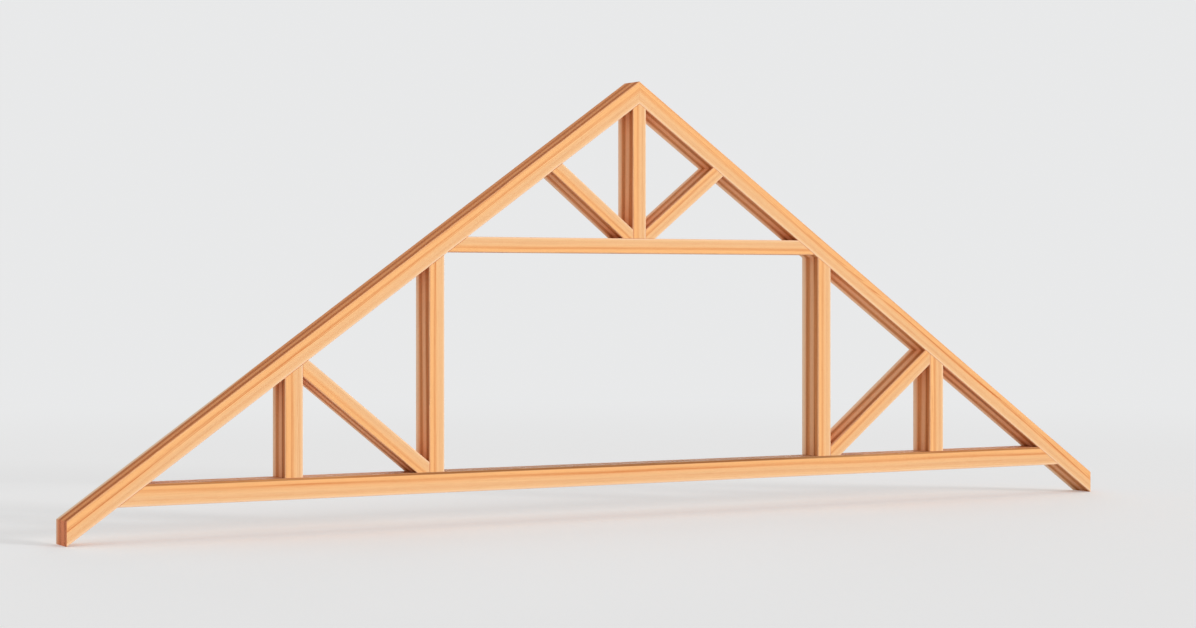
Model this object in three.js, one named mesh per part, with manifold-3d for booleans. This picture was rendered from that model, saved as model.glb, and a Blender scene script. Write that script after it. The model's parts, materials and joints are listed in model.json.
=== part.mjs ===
import * as THREE from 'three';
import { mergeVertices } from 'three/addons/utils/BufferGeometryUtils.js';
import Module from 'manifold-3d';

// An attic truss of sawn softwood: two top chords with tails, a bottom chord that is the floor
// of a room, a ceiling tie, a king post, two room posts, two eaves posts and four diagonals.
// X runs along the span, Y through the thickness and Z up. The origin lies at mid-span, at mid
// thickness, on the level of the two tail tips, on which the truss stands.

// Driving dimensions, in millimetres and degrees.
const pitchDegrees = 35; // slope of both top chords
const tailOverhang = 465; // level reach of each tail past its heel point
const timberThickness = 300; // every timber, through the truss
const topChordDepth = 185; // square to the slope
const bottomChordDepth = 200;
const ceilingTieDepth = 150;
const roomWidth = 4350; // clear, between the room posts
const roomHeight = 2100; // clear, from the bottom chord up to the ceiling tie
const roomCornerDrop = 28; // the top chords meet the room posts' inner faces this far below it
const roomPostDepth = 160;
const eavesBayWidth = 1300; // clear, between a room post and its eaves post
const eavesPostDepth = 180;
const kingPostDepth = 150;
const upperDiagonalDepth = 140; // square to its own length
const lowerDiagonalDepth = 155;
const diagonalPitchDegrees = 38.5; // slope of all four diagonals
const arrisRadius = 8; // the eased long edges
const arrisSegments = 4; // facets on each eased edge
const seatGap = 0.3; // clearance between two faces that bear on each other

// The truss in elevation, as heights and half widths that the joints share.
const pitch = THREE.MathUtils.degToRad(pitchDegrees);
const diagonalPitch = THREE.MathUtils.degToRad(diagonalPitchDegrees);
const roomHalfWidth = roomWidth / 2;
const roomCornerRise = bottomChordDepth + roomHeight - roomCornerDrop;
const halfHeelSpan = roomHalfWidth + roomCornerRise / Math.tan(pitch); // where undersides meet
const halfLength = halfHeelSpan + tailOverhang;
const bearingLevel = tailOverhang * Math.tan(pitch); // underside of the bottom chord
const floorLevel = bearingLevel + bottomChordDepth;
const ceilingLevel = floorLevel + roomHeight;
const tieTopLevel = ceilingLevel + ceilingTieDepth;
const peakUndersideLevel = bearingLevel + halfHeelSpan * Math.tan(pitch);
const roomPostOuter = roomHalfWidth + roomPostDepth;
const eavesPostInner = roomPostOuter + eavesBayWidth;
const kingHalfDepth = kingPostDepth / 2;

const wasm = await Module();
wasm.setup();

// Height of the top chords' underside at a distance from mid-span.
function topChordUnderside(x) {
  return peakUndersideLevel - Math.abs(x) * Math.tan(pitch);
}

// A closed three.js geometry as a solid that can be cut.
function toSolid(geometry) {
  const bare = geometry.clone();
  bare.deleteAttribute('normal');
  bare.deleteAttribute('uv');
  const merged = mergeVertices(bare, 1e-4);
  return new wasm.Manifold(new wasm.Mesh({
    numProp: 3,
    vertProperties: new Float32Array(merged.attributes.position.array),
    triVerts: new Uint32Array(merged.index.array),
  }));
}

// A solid as a flat-shaded three.js geometry.
function toGeometry(solid) {
  const { vertProperties, triVerts } = solid.getMesh();
  const indexed = new THREE.BufferGeometry();
  indexed.setAttribute('position', new THREE.BufferAttribute(vertProperties, 3));
  indexed.setIndex(new THREE.BufferAttribute(triVerts, 1));
  const geometry = indexed.toNonIndexed();
  geometry.computeVertexNormals();
  return geometry;
}

// The cross-section of a timber: a rectangle whose four arrises are eased to quarter rounds.
function easedSection(depth) {
  const halfDepth = depth / 2;
  const halfThickness = timberThickness / 2;
  const corners = [
    [halfDepth - arrisRadius, halfThickness - arrisRadius, 0],
    [arrisRadius - halfDepth, halfThickness - arrisRadius, Math.PI / 2],
    [arrisRadius - halfDepth, arrisRadius - halfThickness, Math.PI],
    [halfDepth - arrisRadius, arrisRadius - halfThickness, Math.PI * 1.5],
  ];
  const section = new THREE.Shape();
  for (const [x, y, start] of corners) {
    section.absarc(x, y, arrisRadius, start, start + Math.PI / 2, false);
  }
  section.closePath();
  return section;
}

// A straight bar along +X from the origin, with its depth in Z and its thickness in Y. Each end
// has spare length past the joint, which the cuts take off.
function sawnBar(length, depth) {
  const spare = 3 * depth;
  const bar = new THREE.ExtrudeGeometry(easedSection(depth), {
    depth: length + 2 * spare,
    bevelEnabled: false,
    curveSegments: arrisSegments,
  });
  bar.translate(0, 0, -spare);
  bar.rotateY(Math.PI / 2);
  return bar;
}

// One saw cut, seen in elevation: it passes through a point, and `off` is the direction, in
// degrees above +X, in which the waste falls off. The gap holds the cut back from its seat.
function cut(x, z, off, gap = seatGap) {
  const angle = THREE.MathUtils.degToRad(off);
  return { x, z, angle, gap };
}

// The waste that a cut takes off, as a block whose near face lies on the cut.
function wasteBlock({ x, z, angle, gap }) {
  const size = 2 * halfLength;
  const block = new THREE.BoxGeometry(size, 2 * timberThickness, size);
  block.translate(size / 2 - gap, 0, 0);
  block.rotateY(-angle);
  block.translate(x, 0, z);
  return block;
}

const softwood = { color: 0xf0b27c, roughness: 0.72, metalness: 0 };

// A timber whose centre line runs between two points in elevation, [x, z], trimmed by its cuts.
function timber(name, depth, [startX, startZ], [endX, endZ], cuts) {
  const run = new THREE.Vector2(endX - startX, endZ - startZ);
  const placed = new THREE.Object3D();
  placed.position.set(startX, 0, startZ);
  placed.rotation.y = -run.angle();
  placed.updateMatrix();
  const intoTimber = placed.matrix.clone().invert();
  let solid = toSolid(sawnBar(run.length(), depth));
  for (const sawCut of cuts) {
    const waste = wasteBlock(sawCut).applyMatrix4(intoTimber);
    solid = solid.subtract(toSolid(waste));
  }
  const mesh = new THREE.Mesh(toGeometry(solid), new THREE.MeshStandardMaterial(softwood));
  mesh.name = name;
  mesh.position.copy(placed.position);
  mesh.rotation.copy(placed.rotation);
  return mesh;
}

// Directions in which waste falls off, on the right-hand half of the truss.
const offDown = -90;
const offOutward = 0;
const offInward = 180;

// The cut that seats a timber against the underside of the top chord on its side.
function topChordSeat(x, side = Math.sign(x)) {
  return cut(x, topChordUnderside(x), 90 - side * pitchDegrees);
}

// A top chord: mitred plumb at the peak, cut plumb at the tail.
function topChord() {
  const plumbDepth = topChordDepth / Math.cos(pitch);
  const peak = [0, peakUndersideLevel + plumbDepth / 2];
  const tail = [halfLength, topChordUnderside(halfLength) + plumbDepth / 2];
  return timber('top_chord', topChordDepth, peak, tail, [
    cut(0, 0, offInward, seatGap / 2),
    cut(halfLength, 0, offOutward, 0),
  ]);
}

// A level timber across the truss: both ends are bevelled to bear on the top chords' undersides.
function levelTimber(name, depth, underside) {
  const centre = underside + depth / 2;
  const reach = (peakUndersideLevel - underside) / Math.tan(pitch);
  return timber(name, depth, [-reach, centre], [reach, centre], [
    topChordSeat(-reach),
    topChordSeat(reach),
  ]);
}

// The king post: stands on the ceiling tie, with a pointed top that fills the peak.
function kingPost() {
  return timber('king_post', kingPostDepth, [0, tieTopLevel], [0, peakUndersideLevel], [
    cut(0, tieTopLevel, offDown),
    topChordSeat(0, -1),
    topChordSeat(0, 1),
  ]);
}

// A post: square foot on the bottom chord, head bevelled to the top chord's underside.
function post(name, depth, inner) {
  const centre = inner + depth / 2;
  return timber(name, depth, [centre, floorLevel], [centre, topChordUnderside(inner)], [
    cut(centre, floorLevel, offDown),
    topChordSeat(centre),
  ]);
}

// A diagonal: its centre line rises outward from the corner between a post's face and the level
// timber under it. Its foot has a plumb cut and a level cut there, and its head meets the top chord.
function diagonal(name, depth, cornerX, cornerZ, headCuts = []) {
  const rise = Math.tan(diagonalPitch);
  const reach = (topChordUnderside(cornerX) - cornerZ) / (rise + Math.tan(pitch));
  const head = [cornerX + reach, cornerZ + reach * rise];
  return timber(name, depth, [cornerX, cornerZ], head, [
    cut(cornerX, cornerZ, offInward),
    cut(cornerX, cornerZ, offDown),
    topChordSeat(head[0]),
    ...headCuts,
  ]);
}

// A right-hand timber and its left-hand fellow, which is the same timber turned half round.
function pair(timberRight) {
  const timberLeft = timberRight.clone();
  timberLeft.name = `${timberRight.name}_left`;
  timberRight.name = `${timberRight.name}_right`;
  const leftHalf = new THREE.Group();
  leftHalf.rotation.z = Math.PI;
  leftHalf.add(timberLeft);
  return [timberRight, leftHalf];
}

// The lower diagonals' heads also bear against the inner faces of the eaves posts.
const eavesPostSeat = cut(eavesPostInner, floorLevel, offOutward);

const truss = new THREE.Group();
truss.name = 'attic_truss';
truss.add(
  levelTimber('bottom_chord', bottomChordDepth, bearingLevel),
  ...pair(topChord()),
  levelTimber('ceiling_tie', ceilingTieDepth, ceilingLevel),
  kingPost(),
  ...pair(diagonal('upper_diagonal', upperDiagonalDepth, kingHalfDepth, tieTopLevel)),
  ...pair(post('room_post', roomPostDepth, roomHalfWidth)),
  ...pair(post('eaves_post', eavesPostDepth, eavesPostInner)),
  ...pair(diagonal('lower_diagonal', lowerDiagonalDepth, roomPostOuter, floorLevel, [
    eavesPostSeat,
  ])),
);

export default truss;
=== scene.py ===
"""An attic roof truss in planed softwood, on a pale studio floor."""

import json
import math
import random
from typing import NamedTuple

import bmesh
import bpy
from bpy.props import FloatProperty, FloatVectorProperty, IntProperty, PointerProperty
from mathutils import Matrix, Vector

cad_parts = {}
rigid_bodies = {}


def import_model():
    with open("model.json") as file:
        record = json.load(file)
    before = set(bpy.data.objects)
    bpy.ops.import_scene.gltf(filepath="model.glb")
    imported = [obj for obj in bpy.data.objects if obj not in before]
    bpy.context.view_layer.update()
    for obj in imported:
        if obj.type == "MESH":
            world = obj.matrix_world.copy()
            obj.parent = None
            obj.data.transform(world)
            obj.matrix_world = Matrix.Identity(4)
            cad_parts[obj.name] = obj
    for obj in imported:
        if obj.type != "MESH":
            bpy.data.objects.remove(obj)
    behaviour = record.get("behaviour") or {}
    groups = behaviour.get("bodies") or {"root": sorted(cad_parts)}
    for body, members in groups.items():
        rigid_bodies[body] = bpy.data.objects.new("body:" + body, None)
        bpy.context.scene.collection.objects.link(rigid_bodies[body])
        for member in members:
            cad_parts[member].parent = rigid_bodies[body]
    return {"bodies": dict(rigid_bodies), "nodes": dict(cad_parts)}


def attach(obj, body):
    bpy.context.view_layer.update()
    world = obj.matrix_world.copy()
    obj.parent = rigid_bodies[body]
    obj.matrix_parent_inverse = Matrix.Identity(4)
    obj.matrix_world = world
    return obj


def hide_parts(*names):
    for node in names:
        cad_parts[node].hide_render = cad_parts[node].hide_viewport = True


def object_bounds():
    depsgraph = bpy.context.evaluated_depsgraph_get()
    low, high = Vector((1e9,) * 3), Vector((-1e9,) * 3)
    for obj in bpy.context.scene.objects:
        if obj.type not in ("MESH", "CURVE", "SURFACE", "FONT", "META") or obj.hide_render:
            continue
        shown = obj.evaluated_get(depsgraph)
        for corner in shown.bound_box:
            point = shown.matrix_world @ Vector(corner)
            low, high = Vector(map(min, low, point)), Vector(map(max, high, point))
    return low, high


bl_info = {
    "name": "Attic Roof Truss",
    "version": (1, 0, 0),
    "blender": (4, 5, 0),
    "location": "3D View > Sidebar > Truss",
    "description": "Makes the timbers of an attic truss and the studio it stands in",
    "category": "Add Mesh",
}

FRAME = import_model()
CAD_LOW, CAD_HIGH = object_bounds()
BODY = next(iter(FRAME["bodies"]))

THROUGH = Vector((0, 1, 0))  # the truss's thickness runs this way
WHITE = (1.0, 1.0, 1.0)

# How the timbers are laid and chosen: most have their heart side up or to the left.
TURNED = ("top_chord_right", "ceiling_tie")  # their heart side is to the right or down
DENSE_SHADED_EDGED = ("bottom_chord",)  # their upper edge is sawn from dense wood, and darkened with painted shade
HEART_SHADED_EDGED = ("top_chord_left", "top_chord_right")  # their upper edge is heartwood, with painted shade on its narrow face

# What each point or face of a timber carries for its material.
GRAIN = "grain"  # where the point lies in its log: along, through and across the timber
SECTION = "section"  # distance from the nearest arris, then shares of thickness and of depth
UPPER_EDGE = "upper_edge"  # share of the length, then 1 for a dense edge with painted shade, and 1 for heartwood with painted shade
SAWN_END = "sawn_end"  # 1 on the sawn ends, 0 on the long faces


# ---------------------------------------------------------------- colours


def linear(red, green, blue):
    """A screen colour, 0 to 255, as the linear colour that shaders use."""
    shares = [value / 255 for value in (red, green, blue)]
    return tuple(s / 12.92 if s <= 0.04045 else ((s + 0.055) / 1.055) ** 2.4 for s in shares)


def opaque(colour):
    """A linear colour with full alpha."""
    return (*colour, 1.0)


# ---------------------------------------------------------------- node graphs

# The numbers of a colour Mix node's sockets.
MIX_FACTOR = 0
MIX_FIRST = 6
MIX_SECOND = 7
MIX_RESULT = 2


class Socket:
    """An output socket that takes part in arithmetic, by adding the Math nodes it needs."""

    def __init__(self, graph, output):
        self.graph = graph
        self.output = output

    def __add__(self, other):
        return self.graph.math("ADD", self, other)

    def __radd__(self, other):
        return self.graph.math("ADD", other, self)

    def __sub__(self, other):
        return self.graph.math("SUBTRACT", self, other)

    def __rsub__(self, other):
        return self.graph.math("SUBTRACT", other, self)

    def __neg__(self):
        return 0 - self

    def __mul__(self, other):
        return self.graph.math("MULTIPLY", self, other)

    def __rmul__(self, other):
        return self.graph.math("MULTIPLY", other, self)

    def __truediv__(self, other):
        return self.graph.math("DIVIDE", self, other)

    def __rtruediv__(self, other):
        return self.graph.math("DIVIDE", other, self)

    def __pow__(self, other):
        return self.graph.math("POWER", self, other)

    def __rpow__(self, other):
        return self.graph.math("POWER", other, self)

    def __gt__(self, other):
        return self.graph.math("GREATER_THAN", self, other)

    def __lt__(self, other):
        return self.graph.math("LESS_THAN", self, other)

    def __abs__(self):
        return self.graph.math("ABSOLUTE", self)


class Outputs:
    """The outputs of one node, by name or number, each as a Socket."""

    def __init__(self, graph, node):
        self.graph = graph
        self.node = node

    def __getitem__(self, key):
        return Socket(self.graph, self.node.outputs[key])


class Graph:
    """A node tree under construction."""

    def __init__(self, tree):
        self.tree = tree

    def add(self, kind, settings=None, inputs=None):
        """Adds a node: its settings are set first, then the values or links of its sockets."""
        node = self.tree.nodes.new(kind)
        for name, value in (settings or {}).items():
            setattr(node, name, value)
        for key, value in (inputs or {}).items():
            if isinstance(value, Socket):
                self.tree.links.new(value.output, node.inputs[key])
            else:
                node.inputs[key].default_value = value
        return Outputs(self, node)

    def inputs(self, sockets):
        """Adds the tree's own inputs, given as names with their kinds of socket."""
        for name, kind in sockets.items():
            self.tree.interface.new_socket(name, in_out="INPUT", socket_type=kind)
        return self.add("NodeGroupInput")

    def math(self, operation, *values):
        """One Math node."""
        inputs = dict(enumerate(values))
        return self.add("ShaderNodeMath", {"operation": operation}, inputs)["Value"]

    def vector(self, operation, *values):
        """One Vector Math node that gives a vector."""
        inputs = dict(enumerate(values))
        return self.add("ShaderNodeVectorMath", {"operation": operation}, inputs)["Vector"]

    def scale(self, vector, factor):
        """A vector or colour times a number."""
        inputs = {"Vector": vector, "Scale": factor}
        return self.add("ShaderNodeVectorMath", {"operation": "SCALE"}, inputs)["Vector"]

    def combine(self, x, y, z):
        """A vector from three numbers."""
        return self.add("ShaderNodeCombineXYZ", None, {"X": x, "Y": y, "Z": z})["Vector"]

    def split(self, vector):
        """The three numbers of a vector."""
        parts = self.add("ShaderNodeSeparateXYZ", None, {"Vector": vector})
        return parts["X"], parts["Y"], parts["Z"]

    def noise(self, vector, lumps, detail, start=(0.0, 0.0, 0.0)):
        """Noise from 0 to 1, with so many lumps to a unit of each of the vector's parts, from a
        start that is counted in lumps."""
        place = self.vector("MULTIPLY_ADD", vector, lumps, start)
        inputs = {"Vector": place, "Scale": 1.0, "Detail": detail}
        return self.add("ShaderNodeTexNoise", None, inputs)["Fac"]

    def step(self, value, start, end):
        """A smooth step from 0 at the start to 1 at the end, which may be the lower of the two."""
        settings = {"interpolation_type": "SMOOTHSTEP"}
        inputs = {"Value": value, "From Min": start, "From Max": end}
        return self.add("ShaderNodeMapRange", settings, inputs)["Result"]

    def mix(self, factor, first, second):
        """A colour between two colours."""
        inputs = {MIX_FACTOR: factor, MIX_FIRST: first, MIX_SECOND: second}
        return self.add("ShaderNodeMix", {"data_type": "RGBA"}, inputs)[MIX_RESULT]

    def attribute(self, name):
        """What a piece carries for its material, under that name."""
        return self.add("ShaderNodeAttribute", {"attribute_name": name})

    def store(self, geometry, name, value, kind="FLOAT_VECTOR", domain="POINT"):
        """The geometry, which carries one value more on each point or face."""
        return self.add(
            "GeometryNodeStoreNamedAttribute", {"data_type": kind, "domain": domain},
            {"Geometry": geometry, "Name": name, "Value": value},
        )["Geometry"]


def blend(factor, first, second):
    """A number between two numbers."""
    return first + (second - first) * factor


def empty_graph(owner):
    """The graph of a new material or world, without the nodes that it comes with."""
    owner.use_nodes = True
    owner.node_tree.nodes.clear()
    return Graph(owner.node_tree)


# ---------------------------------------------------------------- wood

# Lumps of noise to a metre of wood: along, through and across the timber.
SWAY_LUMPS = (0.5, 3.0, 3.0)
STRAY_LUMPS = (0.45, 1.2, 1.2)
FINE_LUMPS = (0.7, 70.0, 70.0)
FIBRE_LUMPS = (5.0, 420.0, 420.0)
WEAR_LUMPS = (0.3, 24.0, 24.0)

# Lumps of noise to a metre out from the pith, and to a metre along it.
UNEVEN_LUMPS = (18.0, 0.05, 0.0)
RUN_LUMPS = (45.0, 0.35, 0.0)

YEAR_LUMPS = (0.43, 0.0, 0.0)  # lumps of noise to a year of growth

# Growth rings.
SWAY = 0.05  # metres that the rings bend
UNEVENNESS = 0.04  # metres that wide and narrow years move them
FEATHERING = 0.25  # share of a ring by which the fibres blur its edge
YEAR_STRENGTHS = (0.6, 1.4)  # late wood of the weakest year and of the strongest
LATE_POWERS = (5.5, 0.5)  # the power that narrows late wood, in open wood and in dense wood
LEAST_LATE_POWER = 0.4
FINE_DENSITY = 0.5  # how far fine streaks change the density in all
RUN_DENSITY = 0.8  # how far runs of years change it in all

# Streaks along the timber.
STREAK_STRAY = 0.24  # how far they stray sideways in all, as a share of the face's width
STREAK_FADE = (-0.7, 0.7)  # the part of a cosine wave over which a streak starts

# Bands of other wood, some with painted light on them: the share of a face's width where each
# starts, then where it is whole.
WARM_BAND = (0.3, 0.8)
# Sapwood bands, which also paint a highlight along the edges.
BROAD_SAP_HIGHLIGHT_BAND = (0.15, 0.03)
NARROW_SAP_HIGHLIGHT_BAND = (0.72, 0.9)
END_SAP_HIGHLIGHT_BAND = (0.75, 0.97)
DENSE_SHADED_EDGE_BAND = (0.87, 0.91)
HEART_SHADE_BAND = (0.4, 0.6)
HEART_SHADE_REACHES = (0.8, 1.15)  # how far back heartwood and its painted shade reach at a timber's start, and further on
HEART_SHADE_FADE = (0.0, 0.1)  # measured from that reach towards the front
HEART_SHADE_WIDENING = (0.2, 0.45)  # the shares of the length between which its reach grows
MIDDLE_BAND = (0.3, 0.17)  # shares of the length, measured from its middle

# Pale wood: sapwood, and painted highlights along the edges and on the eased arrises.
SAP_AND_HIGHLIGHT_SHARE = 0.6  # how much of its colour sapwood with its painted edge highlight gives a broad face or an end
ARRIS_HIGHLIGHT_SHARE = 0.25  # how much of that colour an eased arris takes, as a painted highlight
ARRIS_HIGHLIGHT_CORNER = 0.4  # the share of an arris's painted highlight that is as pale as its corner

# Lightness, and how much each of these takes from it.
LIGHTNESS = 1.07
FINE_SHADE = 0.08
PORE_SHADE = 0.12
PORE_FIBRES = (0.5, 0.8)  # the noise of the fibres where a pore starts, and where it is deepest
# Painted shade on a dense upper edge, over its denser grain.
EDGE_PAINTED_SHADE = 0.18
EDGE_BROAD_PAINTED_SHADE = 0.18  # and this more on a broad face
EDGE_MIDDLE_DARKENING = 0.2  # and this more in the middle of the length

# The surface.
LATE_POLISH = 0.14  # roughness that late wood loses
SAWN_ROUGHNESS = 0.1  # roughness that a sawn end gains
BUMP_STRENGTH = 0.35
BUMP_HEIGHT = 0.0006  # metres
BUMP_PARTS = (0.6, 0.4)  # of the late wood and of the fibres
BROAD_TURN = (0.5, 0.9)  # how far a normal points through the truss, from an arris to a broad face


class Streaks(NamedTuple):
    """Dense streaks along a face. Places and widths are shares of the face's width."""

    densest_at: float  # the middle of a streak
    period: float  # from one streak to the next
    weights: tuple  # how dense they are before a change, and after it
    change: tuple  # where the change starts and ends
    stray_start: float  # where in the noise they start to stray, in lumps


BROAD = Streaks(
    densest_at=0.65, period=0.365, weights=(0.55, 0.85), change=(0.42, 0.6), stray_start=7.0,
)
# The narrow faces' streaks are denser than the broad faces', which darkens them: grain, and
# painted shade.
NARROW = Streaks(
    densest_at=0.17, period=0.46, weights=(0.92, 0.85), change=(0.35, 0.6), stray_start=31.0,
)


class Spot:
    """Where a shaded point lies on its timber, as sockets."""

    def __init__(self, graph):
        self.grain = graph.attribute(GRAIN)["Vector"]
        in_section = graph.attribute(SECTION)["Vector"]
        self.from_arris, self.through, self.across = graph.split(in_section)
        on_edge = graph.attribute(UPPER_EDGE)["Vector"]
        self.along, self.dense_edge, self.heart_shaded_edge = graph.split(on_edge)
        self.sawn_end = graph.attribute(SAWN_END)["Fac"]
        normal = graph.add("ShaderNodeTexCoord")["Normal"]
        # A broad face takes the lit colours, a narrow face the colours darkened with painted
        # shade.
        self.on_broad = graph.step(abs(graph.split(normal)[1]), *BROAD_TURN)


def growth_rings(graph, grain, fibre, ring_width):
    """How far a point is across its growth ring, how strong that year's ring is, and how dense
    the run of years is that it belongs to, each from 0 to 1."""
    along, through, across = graph.split(grain)
    from_pith = (through**2 + across**2) ** 0.5
    out_and_along = graph.combine(from_pith, along, 0.0)
    sway = graph.noise(grain, SWAY_LUMPS, detail=1.0) * SWAY
    unevenness = graph.noise(out_and_along, UNEVEN_LUMPS, detail=1.0) * UNEVENNESS
    age = (from_pith + sway + unevenness) / ring_width + fibre * FEATHERING
    year = graph.math("FLOOR", age)
    vigour = graph.noise(graph.combine(year, 0.0, 0.0), YEAR_LUMPS, detail=1.0)
    run = graph.noise(out_and_along, RUN_LUMPS, detail=1.0)
    return age - year, vigour, run


def strayed(graph, grain, share, streaks):
    """A share of a face's width, less or more by how far the streaks stray there."""
    start = (streaks.stray_start, 0.0, 0.0)
    stray = (graph.noise(grain, STRAY_LUMPS, detail=1.0, start=start) - 0.5) * STREAK_STRAY
    return share + stray


def wave(graph, share, streaks):
    """1 in the middle of each streak and 0 between two, at a share of the face's width."""
    turn = (share - streaks.densest_at) * (math.tau / streaks.period)
    return graph.step(graph.math("COSINE", turn), *STREAK_FADE)


def weight(graph, share, streaks):
    """How dense the streaks are in their middles, at a share of the face's width."""
    return blend(graph.step(share, *streaks.change), *streaks.weights)


def late_wood(graph, ring, vigour, density):
    """How much late wood shows: a line at the end of an open ring, most of a dense one."""
    power = graph.math("MAXIMUM", blend(density, *LATE_POWERS), LEAST_LATE_POWER)
    return ring**power * blend(vigour, *YEAR_STRENGTHS)


def ringed_colour(graph, wood, spot, late, broad_share, narrow_density):
    """Early and late wood on the long faces: the narrow faces take darker, redder colours, as
    painted shade.
    """
    warmth = graph.step(broad_share, *WARM_BAND)
    broad_early = graph.mix(warmth, opaque(wood.broad_pale), opaque(wood.broad_warm))
    narrow_early_shaded = graph.mix(narrow_density, opaque(wood.narrow_early_shaded), opaque(wood.narrow_dense_shaded))
    early_colour = graph.mix(spot.on_broad, narrow_early_shaded, broad_early)
    late_colour = graph.mix(spot.on_broad, opaque(wood.narrow_late_shaded), opaque(wood.broad_late))
    return graph.mix(late, early_colour, late_colour)


def heartwood_and_shade(graph, spot):
    """1 in the heartwood of an upper edge, which lies from the front backwards; on a narrow face
    its tint is also painted shade.
    """
    widening = graph.step(spot.along, *HEART_SHADE_WIDENING)
    reach = blend(widening, *HEART_SHADE_REACHES) * spot.heart_shaded_edge
    upper = graph.step(spot.across, *HEART_SHADE_BAND)
    return graph.step(reach - spot.through, *HEART_SHADE_FADE) * upper


def pale_share(graph, wood, spot, heart_and_shade, edge_streak_and_shade):
    """How much of the sapwood's colour shows: on sapwood, which also paints highlights along the
    edges, and as a painted highlight on the eased arrises.
    """
    # Pale bands along the edges: sapwood, and a painted highlight.
    broad_sap_and_highlight = graph.step(spot.across, *BROAD_SAP_HIGHLIGHT_BAND) * SAP_AND_HIGHLIGHT_SHARE
    narrow_sap_and_highlight = graph.step(spot.through, *NARROW_SAP_HIGHLIGHT_BAND) * (1 - heart_and_shade)
    sap_and_highlight = blend(spot.on_broad, narrow_sap_and_highlight, broad_sap_and_highlight)
    # A painted highlight on the eased arrises.
    corner = wood.arris_highlight_width * ARRIS_HIGHLIGHT_CORNER
    arris_highlight = graph.step(spot.from_arris, wood.arris_highlight_width, corner) * ARRIS_HIGHLIGHT_SHARE
    return graph.math("MAXIMUM", sap_and_highlight, arris_highlight) * (1 - edge_streak_and_shade)


def lightness(graph, spot, fine, fibre, edge_streak_and_shade):
    """What fine streaks, pores and a dense edge's painted shade leave of the wood's lightness."""
    pores = graph.step(fibre, *PORE_FIBRES) * PORE_SHADE
    middle = graph.step(abs(spot.along - 0.5), *MIDDLE_BAND)
    more = spot.on_broad * EDGE_BROAD_PAINTED_SHADE + middle * EDGE_MIDDLE_DARKENING
    return LIGHTNESS - fine * FINE_SHADE - pores - edge_streak_and_shade * (EDGE_PAINTED_SHADE + more)


def softwood(wood):
    """Planed pine: dense and open streaks of growth rings, with sapwood along one edge, painted
    highlights along the edges and painted shade on the narrow faces.
    """
    material = bpy.data.materials.new("softwood")
    graph = empty_graph(material)
    spot = Spot(graph)
    fine = graph.noise(spot.grain, FINE_LUMPS, detail=3.0)
    fibre = graph.noise(spot.grain, FIBRE_LUMPS, detail=3.0)
    ring, vigour, run = growth_rings(graph, spot.grain, fibre, wood.ring_width)

    broad_share = strayed(graph, spot.grain, spot.across, BROAD)
    narrow_share = strayed(graph, spot.grain, spot.through, NARROW)
    # A dense upper edge: denser grain, and painted shade.
    edge_streak_and_shade = graph.step(spot.across, *DENSE_SHADED_EDGE_BAND) * spot.dense_edge
    broad_waves = wave(graph, broad_share, BROAD) * weight(graph, broad_share, BROAD)
    broad_density = graph.math("MAXIMUM", broad_waves, edge_streak_and_shade)
    narrow_density = wave(graph, narrow_share, NARROW) * weight(graph, spot.through, NARROW)
    streak = blend(spot.on_broad, narrow_density, broad_density)
    density = streak + (fine - 0.5) * FINE_DENSITY + (run - 0.5) * RUN_DENSITY
    late = late_wood(graph, ring, vigour, density)

    ringed = ringed_colour(graph, wood, spot, late, broad_share, narrow_density)
    heart_and_shade = heartwood_and_shade(graph, spot)
    pale = pale_share(graph, wood, spot, heart_and_shade, edge_streak_and_shade)
    untinted = graph.mix(pale, ringed, opaque(wood.sapwood_and_highlight))
    # Heartwood's tint on the narrow faces: the wood's colour, and painted shade.
    tint = graph.mix(heart_and_shade * (1 - spot.on_broad), opaque(WHITE), opaque(wood.heart_and_shade_tint))
    tinted = graph.vector("MULTIPLY", untinted, tint)
    side = graph.scale(tinted, lightness(graph, spot, fine, fibre, edge_streak_and_shade))

    end_ringed = graph.mix(late, opaque(wood.end_early), opaque(wood.end_late))
    # A pale band along an end's edge: sapwood, and a painted highlight.
    end_sap_and_highlight = graph.step(spot.through, *END_SAP_HIGHLIGHT_BAND) * SAP_AND_HIGHLIGHT_SHARE
    end = graph.mix(end_sap_and_highlight, end_ringed, opaque(wood.sapwood_and_highlight))

    late_part, fibre_part = BUMP_PARTS
    height = late * late_part + fibre * fibre_part
    bump = graph.add(
        "ShaderNodeBump", None,
        {"Strength": BUMP_STRENGTH, "Distance": BUMP_HEIGHT, "Height": height},
    )
    shader = graph.add(
        "ShaderNodeBsdfPrincipled", None,
        {
            "Base Color": graph.mix(spot.sawn_end, side, end),
            "Roughness": wood.roughness - late * LATE_POLISH + spot.sawn_end * SAWN_ROUGHNESS,
            "Specular IOR Level": wood.gloss,
            "Normal": bump["Normal"],
        },
    )
    graph.add("ShaderNodeOutputMaterial", None, {"Surface": shader["BSDF"]})
    return material


# ---------------------------------------------------------------- timbers

# Reading the solids.
WELD = 1e-5  # vertices nearer than this are one, in metres
FLAT = math.radians(1)  # triangles that turn less than this from each other are one face
LEVEL = 1e-5  # a timber that rises less than this in a metre is level
SAWN_LEAN = 0.3  # a sawn end's normal points along the timber by more than this
BROAD_LEAN = 0.999  # a broad face's normal points through it by more than this

# Sawing.
WASTE = "waste"  # the way that the waste of a saw cut falls off
SPARE_DEPTHS = 3  # the spare length at each end of a bar, in depths of the timber
WASTE_DEPTHS = 12  # the size of a block of waste, in depths of the timber
WEAR_BAND = (0.7, 0.3)  # the noise where soft wood starts to be worn low, and where it is lowest

# Finishing.
SLIVER = 5e-5  # shorter edges of a sawn timber are taken out, in metres
EASED_TURN = math.radians(30)  # edges that turn more than this are eased
SHARP_TURN = math.radians(25)  # edges that turn more than this are shaded sharp

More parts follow.
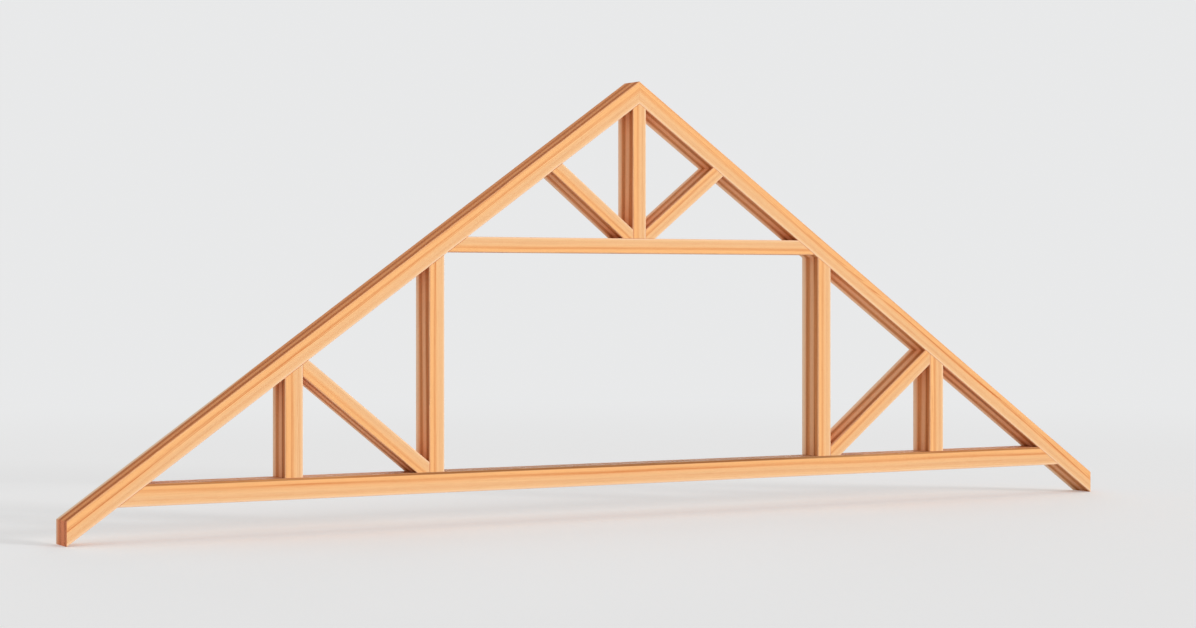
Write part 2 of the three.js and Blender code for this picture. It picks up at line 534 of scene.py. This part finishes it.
# Where the timbers were sawn from their logs.
STOCK_LENGTH = 90  # metres of log for all of them
PITH_DISTANCE = (0.5, 0.62)  # metres from a timber's middle
PITH_BEARING = (40, 50)  # degrees from the heart side towards the front


def whole_faces(node):
    """A node's solid, with the triangles of each flat face joined into one."""
    solid = bmesh.new()
    solid.from_mesh(FRAME["nodes"][node].data)
    bmesh.ops.remove_doubles(solid, verts=solid.verts, dist=WELD)
    bmesh.ops.dissolve_limit(
        solid, angle_limit=FLAT, use_dissolve_boundaries=False,
        verts=solid.verts, edges=solid.edges,
    )
    return solid


def run_of(solid, turned):
    """The way a timber runs: upwards, or to the right if it is level, unless it is turned."""
    longest = max(solid.edges, key=lambda edge: edge.calc_length())
    run = (longest.verts[1].co - longest.verts[0].co).normalized()
    backwards = run.z < -LEVEL or (abs(run.z) < LEVEL and run.x < 0)
    return -run if backwards != turned else run


class Timber:
    """Where a timber runs and how it is sawn, read from its solid."""

    def __init__(self, node):
        self.node = node
        solid = whole_faces(node)
        run = run_of(solid, node in TURNED)
        turn = Matrix((run, THROUGH, run.cross(THROUGH)))  # its depth runs to the heart side
        corners = [turn @ vertex.co for vertex in solid.verts]
        low = Vector(map(min, zip(*corners)))
        high = Vector(map(max, zip(*corners)))
        middle = Vector((0, (low.y + high.y) / 2, (low.z + high.z) / 2))
        self.slope = math.atan2(run.z, run.x)  # from +X, past upright where the run leans left
        self.place = turn.transposed() @ middle
        self.start, self.end = low.x, high.x
        self.thickness = high.y - low.y
        self.depth = high.z - low.z
        faces = [(turn @ face.calc_center_median() - middle, turn @ face.normal, face)
                 for face in solid.faces]
        self.cuts = [(point, off) for point, off, _ in faces if abs(off.x) > SAWN_LEAN]
        broad = next(face for _, off, face in faces if off.y > BROAD_LEAN)
        flat_width = [(turn @ vertex.co).z for vertex in broad.verts]
        self.arris_radius = (self.depth - max(flat_width) + min(flat_width)) / 2
        solid.free()


def section(graph, given):
    """The timber's outline: a rectangle with eased arrises and points close along its sides."""
    rectangle = graph.add(
        "GeometryNodeCurvePrimitiveQuadrilateral", {"mode": "RECTANGLE"},
        {"Width": given["Thickness"], "Height": given["Depth"]},
    )["Curve"]
    eased = graph.add(
        "GeometryNodeFilletCurve", {"mode": "POLY"},
        {"Curve": rectangle, "Count": given["Arris Facets"], "Radius": given["Arris Radius"]},
    )["Curve"]
    position = graph.add("GeometryNodeInputPosition")["Position"]
    index = graph.add("GeometryNodeInputIndex")["Index"]
    count = graph.add("GeometryNodeSplineLength")["Point Count"]
    following = graph.math("MODULO", index + 1, count)
    next_position = graph.add(
        "GeometryNodeFieldAtIndex", {"data_type": "FLOAT_VECTOR", "domain": "POINT"},
        {"Value": position, "Index": following},
    )["Value"]
    side = graph.add(
        "ShaderNodeVectorMath", {"operation": "DISTANCE"}, {0: position, 1: next_position}
    )["Value"]
    cuts = graph.math("FLOOR", side / given["Relief Pitch"])
    return graph.add("GeometryNodeSubdivideCurve", None, {"Curve": eased, "Cuts": cuts})["Curve"]


def planed_bar(graph, given):
    """The section swept along the timber, with the soft wood between the late wood worn low."""
    spare = given["Depth"] * SPARE_DEPTHS
    line = graph.add(
        "GeometryNodeCurvePrimitiveLine", {"mode": "POINTS"},
        {"Start": graph.combine(given["Start"] - spare, 0.0, 0.0),
         "End": graph.combine(given["End"] + spare, 0.0, 0.0)},
    )["Curve"]
    stations = graph.add(
        "GeometryNodeResampleCurve", {"mode": "LENGTH"},
        {"Curve": line, "Length": given["Station Pitch"]},
    )["Curve"]
    bar = graph.add(
        "GeometryNodeCurveToMesh", None,
        {"Curve": stations, "Profile Curve": section(graph, given), "Fill Caps": True},
    )["Mesh"]
    position = graph.add("GeometryNodeInputPosition")["Position"]
    grain = graph.vector("ADD", position, given["Growth"])
    streak = graph.noise(grain, WEAR_LUMPS, detail=2.0)
    worn = graph.step(streak, *WEAR_BAND) * given["Relief Height"]
    normal = graph.add("GeometryNodeInputNormal")["Normal"]
    inward = graph.scale(normal, -worn)
    return graph.add(
        "GeometryNodeSetPosition", None, {"Geometry": bar, "Offset": inward}
    )["Geometry"]


def saw_waste(graph, given):
    """A block of waste on each saw cut: its near face lies on the cut."""
    size = given["Depth"] * WASTE_DEPTHS
    block = graph.add(
        "GeometryNodeMeshCube", None, {"Size": graph.combine(size, size, size)}
    )["Mesh"]
    on_cut = graph.add(
        "GeometryNodeTransform", None,
        {"Geometry": block, "Translation": graph.combine(size / 2, 0.0, 0.0)},
    )["Geometry"]
    waste = graph.add(
        "GeometryNodeInputNamedAttribute", {"data_type": "FLOAT_VECTOR"}, {"Name": WASTE}
    )["Attribute"]
    turned = graph.add("FunctionNodeAlignRotationToVector", {"axis": "X"}, {"Vector": waste})
    return graph.add(
        "GeometryNodeInstanceOnPoints", None,
        {"Points": given["Saw Cuts"], "Instance": on_cut, "Rotation": turned["Rotation"]},
    )["Instances"]


def marked(graph, given, sawn):
    """The sawn timber, with what its points and faces carry for the material."""
    position = graph.add("GeometryNodeInputPosition")["Position"]
    grain = graph.vector("ADD", position, given["Growth"])
    along, through, across = graph.split(position)
    to_broad = given["Thickness"] / 2 - abs(through)
    to_narrow = given["Depth"] / 2 - abs(across)
    in_section = graph.combine(
        graph.math("MAXIMUM", to_broad, to_narrow),
        through / given["Thickness"] + 0.5,
        across / given["Depth"] + 0.5,
    )
    length_share = (along - given["Start"]) / (given["End"] - given["Start"])
    on_edge = graph.combine(length_share, given["Dense Shaded Edge"], given["Heart Shaded Edge"])
    normal = graph.add("GeometryNodeInputNormal")["Normal"]
    sawn_end = abs(graph.split(normal)[0]) > SAWN_LEAN
    sawn = graph.store(sawn, GRAIN, grain)
    sawn = graph.store(sawn, SECTION, in_section)
    sawn = graph.store(sawn, UPPER_EDGE, on_edge)
    return graph.store(sawn, SAWN_END, sawn_end, kind="FLOAT", domain="FACE")


def timber_tree():
    """Geometry nodes that saw one timber: its mesh holds one point for each saw cut."""
    tree = bpy.data.node_groups.new("Sawn timber", "GeometryNodeTree")
    graph = Graph(tree)
    given = graph.inputs({
        "Saw Cuts": "NodeSocketGeometry",
        "Start": "NodeSocketFloat",
        "End": "NodeSocketFloat",
        "Depth": "NodeSocketFloat",
        "Thickness": "NodeSocketFloat",
        "Arris Radius": "NodeSocketFloat",
        "Arris Facets": "NodeSocketInt",
        "Relief Pitch": "NodeSocketFloat",
        "Relief Height": "NodeSocketFloat",
        "Station Pitch": "NodeSocketFloat",
        "Growth": "NodeSocketVector",
        "Dense Shaded Edge": "NodeSocketFloat",
        "Heart Shaded Edge": "NodeSocketFloat",
        "Slope": "NodeSocketFloat",
        "Place": "NodeSocketVector",
        "Material": "NodeSocketMaterial",
    })
    tree.interface.new_socket("Timber", in_out="OUTPUT", socket_type="NodeSocketGeometry")
    sawn = graph.add(
        "GeometryNodeMeshBoolean", {"operation": "DIFFERENCE", "solver": "EXACT"},
        {"Mesh 1": planed_bar(graph, given), "Mesh 2": saw_waste(graph, given)},
    )["Mesh"]
    placed = graph.add(
        "GeometryNodeTransform", None,
        {"Geometry": marked(graph, given, sawn), "Translation": given["Place"],
         "Rotation": graph.combine(0.0, -given["Slope"], 0.0)},
    )["Geometry"]
    realized = graph.add("GeometryNodeRealizeInstances", None, {"Geometry": placed})["Geometry"]
    finished = graph.add(
        "GeometryNodeSetMaterial", None, {"Geometry": realized, "Material": given["Material"]}
    )["Geometry"]
    graph.add("NodeGroupOutput", None, {"Timber": finished})
    return tree


def shared(collection, name, make):
    """The data block of that name, made the first time that it is asked for."""
    return collection.get(name) or make()


def saw_cut_points(timber):
    """A mesh with one point on each saw cut, which carries the way the waste falls off."""
    mesh = bpy.data.meshes.new(f"{timber.node}_cuts")
    mesh.from_pydata([point for point, _ in timber.cuts], [], [])
    waste = mesh.attributes.new(WASTE, "FLOAT_VECTOR", "POINT")
    for value, (_, off) in zip(waste.data, timber.cuts):
        value.vector = off
    return mesh


def growth_of(node):
    """Where a timber was sawn from its log: how far up, and where it lies from the pith."""
    chance = random.Random(node)
    bearing = math.radians(chance.uniform(*PITH_BEARING))
    distance = chance.uniform(*PITH_DISTANCE)
    up_the_log = chance.uniform(0, STOCK_LENGTH)
    return (up_the_log, distance * math.sin(bearing), -distance * math.cos(bearing))


def add_sawing(piece, timber, truss):
    """Adds the modifier that saws a timber, with the timber's own sizes."""
    values = {
        "Start": timber.start,
        "End": timber.end,
        "Depth": timber.depth,
        "Thickness": timber.thickness,
        "Arris Radius": timber.arris_radius,
        "Arris Facets": truss.sawing.arris_facets,
        "Relief Pitch": truss.sawing.relief_pitch,
        "Relief Height": truss.sawing.relief_height,
        "Station Pitch": truss.sawing.station_pitch,
        "Growth": growth_of(timber.node),
        "Dense Shaded Edge": float(timber.node in DENSE_SHADED_EDGED),
        "Heart Shaded Edge": float(timber.node in HEART_SHADED_EDGED),
        "Slope": timber.slope,
        "Place": timber.place,
        "Material": shared(bpy.data.materials, "softwood", lambda: softwood(truss.wood)),
    }
    tree = shared(bpy.data.node_groups, "Sawn timber", timber_tree)
    sawing = piece.modifiers.new("Sawing", "NODES")
    sawing.node_group = tree
    for item in tree.interface.items_tree:
        if item.name in values:
            sawing[item.identifier] = values[item.name]


def add_easing(piece, width):
    """Adds the modifier that eases the edges left by the saw."""
    easing = piece.modifiers.new("Saw edges", "BEVEL")
    easing.width = width
    easing.segments = 1
    easing.limit_method = "ANGLE"
    easing.angle_limit = EASED_TURN


def clear_slivers(mesh):
    """Merges the points that the saw cuts and the easing leave all but on each other."""
    sawn = bmesh.new()
    sawn.from_mesh(mesh)
    bmesh.ops.remove_doubles(sawn, verts=sawn.verts, dist=SLIVER)
    sawn.to_mesh(mesh)
    sawn.free()


def make_timber(node, truss):
    """Saws one timber, eases its saw edges and puts it in the place of its solid."""
    timber = Timber(node)
    piece = bpy.data.objects.new(f"timber_{node}", saw_cut_points(timber))
    bpy.context.scene.collection.objects.link(piece)
    add_sawing(piece, timber, truss)
    add_easing(piece, truss.sawing.saw_edge)
    evaluated = piece.evaluated_get(bpy.context.evaluated_depsgraph_get())
    mesh = bpy.data.meshes.new_from_object(evaluated)
    clear_slivers(mesh)
    piece.modifiers.clear()
    piece.data = mesh
    mesh.shade_smooth()
    mesh.set_sharp_from_angle(angle=SHARP_TURN)
    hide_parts(node)
    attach(piece, BODY)


# ---------------------------------------------------------------- stage

FLOOR_SIDES = 96
FLOOR_GAP = 0.0005  # metres between the floor and the truss


def seen_or_mirrored(graph):
    """1 where the camera or a reflection sees a surface, and 0 where it only gives light."""
    rays = graph.add("ShaderNodeLightPath")
    return graph.math("MAXIMUM", rays["Is Camera Ray"], rays["Is Glossy Ray"])


def floor_material(stage):
    """A pale matt floor that fades into the background far from the object."""
    material = bpy.data.materials.new("studio_floor")
    graph = empty_graph(material)
    place = graph.add("ShaderNodeTexCoord")["Object"]
    distance = graph.add("ShaderNodeVectorMath", {"operation": "LENGTH"}, {0: place})["Value"]
    paint = graph.add(
        "ShaderNodeBsdfDiffuse", None, {"Color": opaque(stage.floor_colour)}
    )["BSDF"]
    strength = seen_or_mirrored(graph) * stage.floor_lift
    lift = graph.add(
        "ShaderNodeEmission", None, {"Color": opaque(stage.backdrop_colour), "Strength": strength}
    )["Emission"]
    near = graph.add("ShaderNodeAddShader", None, {0: paint, 1: lift})["Shader"]
    backdrop = graph.add(
        "ShaderNodeEmission", None, {"Color": opaque(stage.backdrop_colour)}
    )["Emission"]
    far = graph.step(distance, stage.fade_start, stage.fade_end)
    surface = graph.add("ShaderNodeMixShader", None, {0: far, 1: near, 2: backdrop})["Shader"]
    graph.add("ShaderNodeOutputMaterial", None, {"Surface": surface})
    return material


def make_floor(stage):
    """A round floor under the truss."""
    disc = bmesh.new()
    bmesh.ops.create_circle(
        disc, cap_ends=True, radius=stage.floor_radius, segments=FLOOR_SIDES
    )
    mesh = bpy.data.meshes.new("studio_floor")
    disc.to_mesh(mesh)
    disc.free()
    mesh.materials.append(floor_material(stage))
    floor = bpy.data.objects.new("studio_floor", mesh)
    floor.location.z = CAD_LOW.z - FLOOR_GAP
    bpy.context.scene.collection.objects.link(floor)


def make_sky(stage):
    """A pale, even surround."""
    world = bpy.data.worlds.new("studio")
    graph = empty_graph(world)
    light = graph.add(
        "ShaderNodeBackground", None,
        {"Color": opaque(stage.sky_colour), "Strength": stage.sky_strength},
    )["Background"]
    backdrop = graph.add(
        "ShaderNodeBackground", None, {"Color": opaque(stage.backdrop_colour)}
    )["Background"]
    surface = graph.add(
        "ShaderNodeMixShader", None, {0: seen_or_mirrored(graph), 1: light, 2: backdrop}
    )["Shader"]
    graph.add("ShaderNodeOutputWorld", None, {"Surface": surface})
    bpy.context.scene.world = world


def make_sun(name, strength, softness, bearing, height):
    """A soft sun: its bearing is taken from the front towards the right."""
    sun = bpy.data.lights.new(name, "SUN")
    sun.energy = strength
    sun.angle = softness
    lamp = bpy.data.objects.new(name, sun)
    lamp.rotation_euler = (math.pi / 2 - height, 0, bearing)
    bpy.context.scene.collection.objects.link(lamp)


def make_camera(stage):
    """A level camera, left of the truss and a little above head height."""
    lens = bpy.data.cameras.new("camera")
    lens.lens = stage.lens
    lens.shift_y = stage.camera_shift
    lens.clip_end = 2 * stage.floor_radius
    camera = bpy.data.objects.new("camera", lens)
    camera.location = stage.camera_place
    camera.rotation_euler = (math.pi / 2, 0, -stage.camera_yaw)
    bpy.context.scene.collection.objects.link(camera)
    bpy.context.scene.camera = camera


# ---------------------------------------------------------------- settings


class SawingSettings(bpy.types.PropertyGroup):
    """How finely the timbers are sawn and planed."""

    arris_facets: IntProperty(
        name="Arris facets", description="Points on each eased long edge", min=2, default=6,
    )
    saw_edge: FloatProperty(
        name="Saw edge", description="Easing of the edges left by the saw",
        subtype="DISTANCE", unit="LENGTH", min=0, default=0.0015,
    )
    relief_height: FloatProperty(
        name="Relief height", description="How far the soft wood is worn below the dense wood",
        subtype="DISTANCE", unit="LENGTH", min=0, default=0.0006,
    )
    relief_pitch: FloatProperty(
        name="Relief pitch", description="Distance between points across the grain",
        subtype="DISTANCE", unit="LENGTH", min=0.001, default=0.006,
    )
    station_pitch: FloatProperty(
        name="Station pitch", description="Distance between points along the grain",
        subtype="DISTANCE", unit="LENGTH", min=0.01, default=0.12,
    )


class WoodSettings(bpy.types.PropertyGroup):
    """The colours, with their painted shade and highlights, the grain and the surface of the
    softwood.
    """

    broad_pale: FloatVectorProperty(
        name="Broad pale", description="Early wood on the broad faces, far from the heart",
        subtype="COLOR", min=0, max=1, default=linear(248, 202, 149),
    )
    broad_warm: FloatVectorProperty(
        name="Broad warm", description="Early wood on the broad faces, near the heart",
        subtype="COLOR", min=0, max=1, default=linear(255, 196, 132),
    )
    broad_late: FloatVectorProperty(
        name="Broad late", description="Late wood on the broad faces",
        subtype="COLOR", min=0, max=1, default=linear(213, 118, 51),
    )
    # The narrow faces' colours are darker and redder than the broad faces': painted shade over the
    # wood's own colour.
    narrow_early_shaded: FloatVectorProperty(
        name="Narrow early", description="Early wood on the narrow faces",
        subtype="COLOR", min=0, max=1, default=linear(255, 195, 147),
    )
    narrow_dense_shaded: FloatVectorProperty(
        name="Narrow dense", description="Early wood in the dense streaks of the narrow faces",
        subtype="COLOR", min=0, max=1, default=linear(244, 162, 96),
    )
    narrow_late_shaded: FloatVectorProperty(
        name="Narrow late", description="Late wood on the narrow faces",
        subtype="COLOR", min=0, max=1, default=linear(138, 62, 17),
    )
    end_early: FloatVectorProperty(
        name="End early", description="Early wood on the sawn ends",
        subtype="COLOR", min=0, max=1, default=linear(252, 158, 112),
    )
    end_late: FloatVectorProperty(
        name="End late", description="Late wood on the sawn ends",
        subtype="COLOR", min=0, max=1, default=linear(170, 88, 50),
    )
    # Also the colour of the painted highlights along the edges and on the eased arrises.
    sapwood_and_highlight: FloatVectorProperty(
        name="Sapwood", description="Sapwood and the rubbed arrises",
        subtype="COLOR", min=0, max=1, default=linear(254, 217, 181),
    )
    # Heartwood's tint, which also darkens the upper narrow faces as painted shade.
    heart_and_shade_tint: FloatVectorProperty(
        name="Heart tint", description="What heartwood keeps of each colour of the other wood",
        subtype="COLOR", min=0, max=1, default=(0.98, 0.76, 0.54),
    )
    # The width of the painted highlight on an eased arris.
    arris_highlight_width: FloatProperty(
        name="Arris width", description="How far a rubbed arris's pale colour reaches",
        subtype="DISTANCE", unit="LENGTH", min=0, default=0.014,
    )
    ring_width: FloatProperty(
        name="Ring width", description="One year's growth",
        subtype="DISTANCE", unit="LENGTH", min=0.001, default=0.0065,
    )
    roughness: FloatProperty(
        name="Roughness", description="Roughness of early wood on the long faces",
        subtype="FACTOR", min=0, max=1, default=0.72,
    )
    gloss: FloatProperty(
        name="Gloss", description="Strength of the wood's reflections",
        subtype="FACTOR", min=0, max=1, default=0.12,
    )


class StageSettings(bpy.types.PropertyGroup):
    """The floor, the light and the camera."""

    floor_colour: FloatVectorProperty(
        name="Floor", description="Paint of the floor",
        subtype="COLOR", min=0, max=1, default=(0.84, 0.84, 0.84),
    )
    backdrop_colour: FloatVectorProperty(
        name="Backdrop", description="What the floor fades into",
        subtype="COLOR", min=0, max=1, default=(0.81, 0.815, 0.82),
    )
    floor_lift: FloatProperty(
        name="Floor lift", description="How much the floor is brightened where it is seen",
        subtype="FACTOR", min=0, max=1, default=0.2,
    )
    floor_radius: FloatProperty(
        name="Floor radius", description="Reach of the floor",
        subtype="DISTANCE", unit="LENGTH", min=1, default=150,
    )
    fade_start: FloatProperty(
        name="Fade start", description="Where the floor starts to fade",
        subtype="DISTANCE", unit="LENGTH", min=0, default=9,
    )
    fade_end: FloatProperty(
        name="Fade end", description="Where the floor is all background",
        subtype="DISTANCE", unit="LENGTH", min=0, default=26,
    )
    sky_colour: FloatVectorProperty(
        name="Sky", description="Colour of the surrounding light",
        subtype="COLOR", min=0, max=1, default=WHITE,
    )
    sky_strength: FloatProperty(
        name="Sky strength", description="Level of the surrounding light", min=0, default=0.6,
    )
    key_strength: FloatProperty(
        name="Key strength", description="Sun from the front right, in watts a square metre",
        min=0, default=1.5,
    )
    key_softness: FloatProperty(
        name="Key softness", description="Width of that sun",
        subtype="ANGLE", unit="ROTATION", min=0, max=math.pi, default=math.radians(14),
    )
    key_bearing: FloatProperty(
        name="Key bearing", description="Turn of that sun from the front towards the right",
        subtype="ANGLE", unit="ROTATION", default=math.radians(35),
    )
    key_height: FloatProperty(
        name="Key height", description="Height of that sun above the horizon",
        subtype="ANGLE", unit="ROTATION", default=math.radians(13),
    )
    fill_strength: FloatProperty(
        name="Fill strength", description="Sun from behind, in watts a square metre",
        min=0, default=0.6,
    )
    fill_softness: FloatProperty(
        name="Fill softness", description="Width of that sun",
        subtype="ANGLE", unit="ROTATION", min=0, max=math.pi, default=math.radians(28),
    )
    fill_bearing: FloatProperty(
        name="Fill bearing", description="Turn of that sun from the front towards the right",
        subtype="ANGLE", unit="ROTATION", default=math.radians(150),
    )
    fill_height: FloatProperty(
        name="Fill height", description="Height of that sun above the horizon",
        subtype="ANGLE", unit="ROTATION", default=math.radians(8),
    )
    lens: FloatProperty(
        name="Lens", description="Focal length",
        subtype="DISTANCE_CAMERA", unit="CAMERA", min=10, default=74.55,
    )
    camera_yaw: FloatProperty(
        name="Camera yaw", description="Turn to the right of square on",
        subtype="ANGLE", unit="ROTATION", default=math.radians(30.06),
    )
    camera_shift: FloatProperty(
        name="Camera shift", description="Lens shift that sets the horizon", default=-0.0225,
    )
    camera_place: FloatVectorProperty(
        name="Camera place", description="Where the camera stands",
        subtype="TRANSLATION", unit="LENGTH", default=(-12.76, -21.367, 2.29),
    )


class TrussSettings(bpy.types.PropertyGroup):
    """All of the truss's settings."""

    sawing: PointerProperty(
        type=SawingSettings, name="Sawing", description="How the timbers are sawn",
    )
    wood: PointerProperty(
        type=WoodSettings, name="Wood", description="What the timbers are made of",
    )
    stage: PointerProperty(
        type=StageSettings, name="Stage", description="What the truss stands in",
    )


# ---------------------------------------------------------------- operators


def make_timbers(context, *nodes):
    """Makes the timbers that stand for those nodes, and gives an operator's result."""
    for node in nodes:
        make_timber(node, context.scene.attic_truss)
    return {"FINISHED"}


class TRUSS_OT_bottom_chord(bpy.types.Operator):
    """Make the bottom chord, bevelled at both ends against the top chords"""

    bl_idname = "truss.bottom_chord"
    bl_label = "Bottom Chord"
    bl_options = {"REGISTER", "UNDO"}

    def execute(self, context):
        return make_timbers(context, "bottom_chord")


class TRUSS_OT_top_chords(bpy.types.Operator):
    """Make both top chords, mitred at the peak and cut plumb at the tails"""

    bl_idname = "truss.top_chords"
    bl_label = "Top Chords"
    bl_options = {"REGISTER", "UNDO"}

    def execute(self, context):
        return make_timbers(context, "top_chord_left", "top_chord_right")


class TRUSS_OT_ceiling_tie(bpy.types.Operator):
    """Make the tie over the room"""

    bl_idname = "truss.ceiling_tie"
    bl_label = "Ceiling Tie"
    bl_options = {"REGISTER", "UNDO"}

    def execute(self, context):
        return make_timbers(context, "ceiling_tie")


class TRUSS_OT_king_post(bpy.types.Operator):
    """Make the king post with its pointed head"""

    bl_idname = "truss.king_post"
    bl_label = "King Post"
    bl_options = {"REGISTER", "UNDO"}

    def execute(self, context):
        return make_timbers(context, "king_post")


class TRUSS_OT_room_posts(bpy.types.Operator):
    """Make the two posts beside the room"""

    bl_idname = "truss.room_posts"
    bl_label = "Room Posts"
    bl_options = {"REGISTER", "UNDO"}

    def execute(self, context):
        return make_timbers(context, "room_post_left", "room_post_right")


class TRUSS_OT_eaves_posts(bpy.types.Operator):
    """Make the two short posts near the eaves"""

    bl_idname = "truss.eaves_posts"
    bl_label = "Eaves Posts"
    bl_options = {"REGISTER", "UNDO"}

    def execute(self, context):
        return make_timbers(context, "eaves_post_left", "eaves_post_right")


class TRUSS_OT_upper_diagonals(bpy.types.Operator):
    """Make the two diagonals beside the king post"""

    bl_idname = "truss.upper_diagonals"
    bl_label = "Upper Diagonals"
    bl_options = {"REGISTER", "UNDO"}

    def execute(self, context):
        return make_timbers(context, "upper_diagonal_left", "upper_diagonal_right")


class TRUSS_OT_lower_diagonals(bpy.types.Operator):
    """Make the two diagonals from the room posts to the eaves posts"""

    bl_idname = "truss.lower_diagonals"
    bl_label = "Lower Diagonals"
    bl_options = {"REGISTER", "UNDO"}

    def execute(self, context):
        return make_timbers(context, "lower_diagonal_left", "lower_diagonal_right")


class TRUSS_OT_stage(bpy.types.Operator):
    """Make the floor, the light and the camera"""

    bl_idname = "truss.stage"
    bl_label = "Studio Stage"
    bl_options = {"REGISTER", "UNDO"}

    def execute(self, context):
        stage = context.scene.attic_truss.stage
        make_floor(stage)
        make_sky(stage)
        make_sun(
            "key", stage.key_strength, stage.key_softness, stage.key_bearing, stage.key_height
        )
        make_sun(
            "back_fill", stage.fill_strength, stage.fill_softness, stage.fill_bearing,
            stage.fill_height,
        )
        make_camera(stage)
        context.scene.view_settings.view_transform = "Standard"
        return {"FINISHED"}


OPERATORS = (
    TRUSS_OT_bottom_chord,
    TRUSS_OT_top_chords,
    TRUSS_OT_ceiling_tie,
    TRUSS_OT_king_post,
    TRUSS_OT_room_posts,
    TRUSS_OT_eaves_posts,
    TRUSS_OT_upper_diagonals,
    TRUSS_OT_lower_diagonals,
    TRUSS_OT_stage,
)


class TRUSS_PT_sidebar(bpy.types.Panel):
    """The truss's settings and its operators"""

    bl_idname = "TRUSS_PT_sidebar"
    bl_label = "Attic Truss"
    bl_space_type = "VIEW_3D"
    bl_region_type = "UI"
    bl_category = "Truss"

    def draw(self, context):
        truss = context.scene.attic_truss
        for settings in (truss.sawing, truss.wood, truss.stage):
            box = self.layout.box()
            for name in settings.__annotations__:
                box.prop(settings, name)
        for operator in OPERATORS:
            self.layout.operator(operator.bl_idname)


CLASSES = (
    SawingSettings, WoodSettings, StageSettings, TrussSettings, *OPERATORS, TRUSS_PT_sidebar,
)


def register():
    """Registers every class, and gives the scene the truss's settings."""
    for made in CLASSES:
        bpy.utils.register_class(made)
    bpy.types.Scene.attic_truss = PointerProperty(type=TrussSettings)


def unregister():
    """Takes back what register did, in reverse order."""
    del bpy.types.Scene.attic_truss
    for made in reversed(CLASSES):
        bpy.utils.unregister_class(made)


def main():
    register()
    bpy.ops.truss.stage()
    bpy.ops.truss.bottom_chord()
    bpy.ops.truss.top_chords()
    bpy.ops.truss.ceiling_tie()
    bpy.ops.truss.king_post()
    bpy.ops.truss.room_posts()
    bpy.ops.truss.eaves_posts()
    bpy.ops.truss.upper_diagonals()
    bpy.ops.truss.lower_diagonals()


if __name__ == "__main__":
    main()
